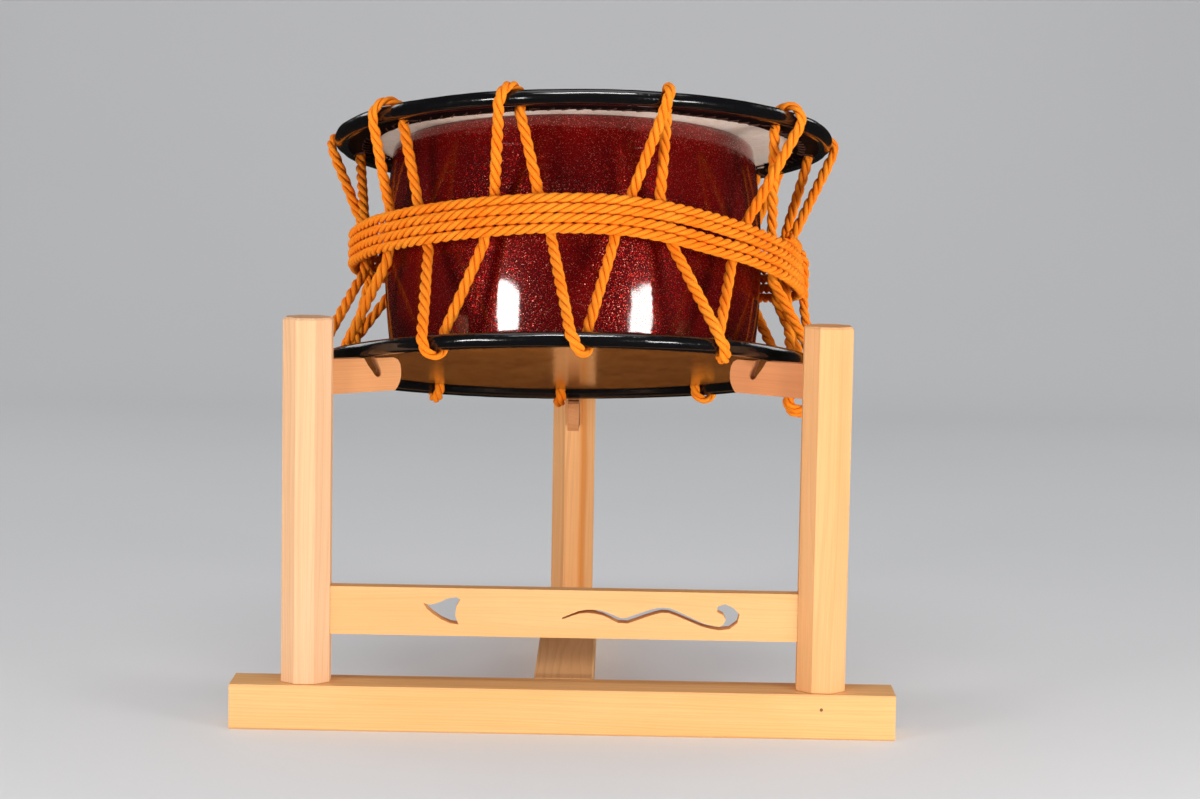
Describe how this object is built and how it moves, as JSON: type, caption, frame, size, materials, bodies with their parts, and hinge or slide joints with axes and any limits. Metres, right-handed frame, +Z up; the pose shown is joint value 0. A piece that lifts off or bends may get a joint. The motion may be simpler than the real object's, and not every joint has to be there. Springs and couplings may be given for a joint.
{
  "type": "rope-laced drum on a stand",
  "caption": "Shallow rope-tensioned drum with a red lacquered shell and black-rimmed hide heads, resting tilted on a pale wooden post stand with a removable rear leg.",
  "frame": {"origin": "on the floor at the centre of the front foot's underside", "axes": "+X right along the front foot, +Y back towards the rear leg and the player, +Z up"},
  "size_m": [0.44, 0.4287, 0.4306],
  "materials": {
    "pale_wood": "bare planed conifer, satin",
    "arm_wood": "bare planed, pinker board",
    "pin_wood": "matt",
    "red_lacquer": "deep red lacquer with fine metallic flakes, gloss",
    "hoop_iron": "black iron, hidden inside the rolled hide",
    "hide": "semi-gloss tan hide with a black lacquered rim",
    "stitch_cord": "thin waxed cord, matt",
    "orange_rope": "three-strand twisted soft rope, matt"
  },
  "bodies": {
    "root": {"front_foot": "pale_wood", "left_post": "pale_wood", "right_post": "pale_wood", "cross_rail": "pale_wood", "left_arm": "arm_wood", "right_arm": "arm_wood", "right_tenon_pin": "pin_wood"},
    "rear_leg": {"rear_foot": "pale_wood", "rear_post": "pale_wood", "rear_arm": "arm_wood"},
    "drum": {"drum_body": "red_lacquer", "upper_hoop": "hoop_iron", "upper_head": "hide", "upper_head_stitching": "stitch_cord", "lower_hoop": "hoop_iron", "lower_head": "hide", "lower_head_stitching": "stitch_cord", "lacing_rope": "orange_rope", "binding_rope": "orange_rope", "binding_rope_tail": "orange_rope"}
  },
  "joints": [
    {"name": "drum_lift", "type": "slide", "parent": "root", "child": "drum", "axis": [0, 0, 1], "range_m": [0, 0.25]},
    {"name": "rear_leg_pull", "type": "slide", "parent": "root", "child": "rear_leg", "axis": [0, 1, 0], "range_m": [0, 0.05]}
  ]
}
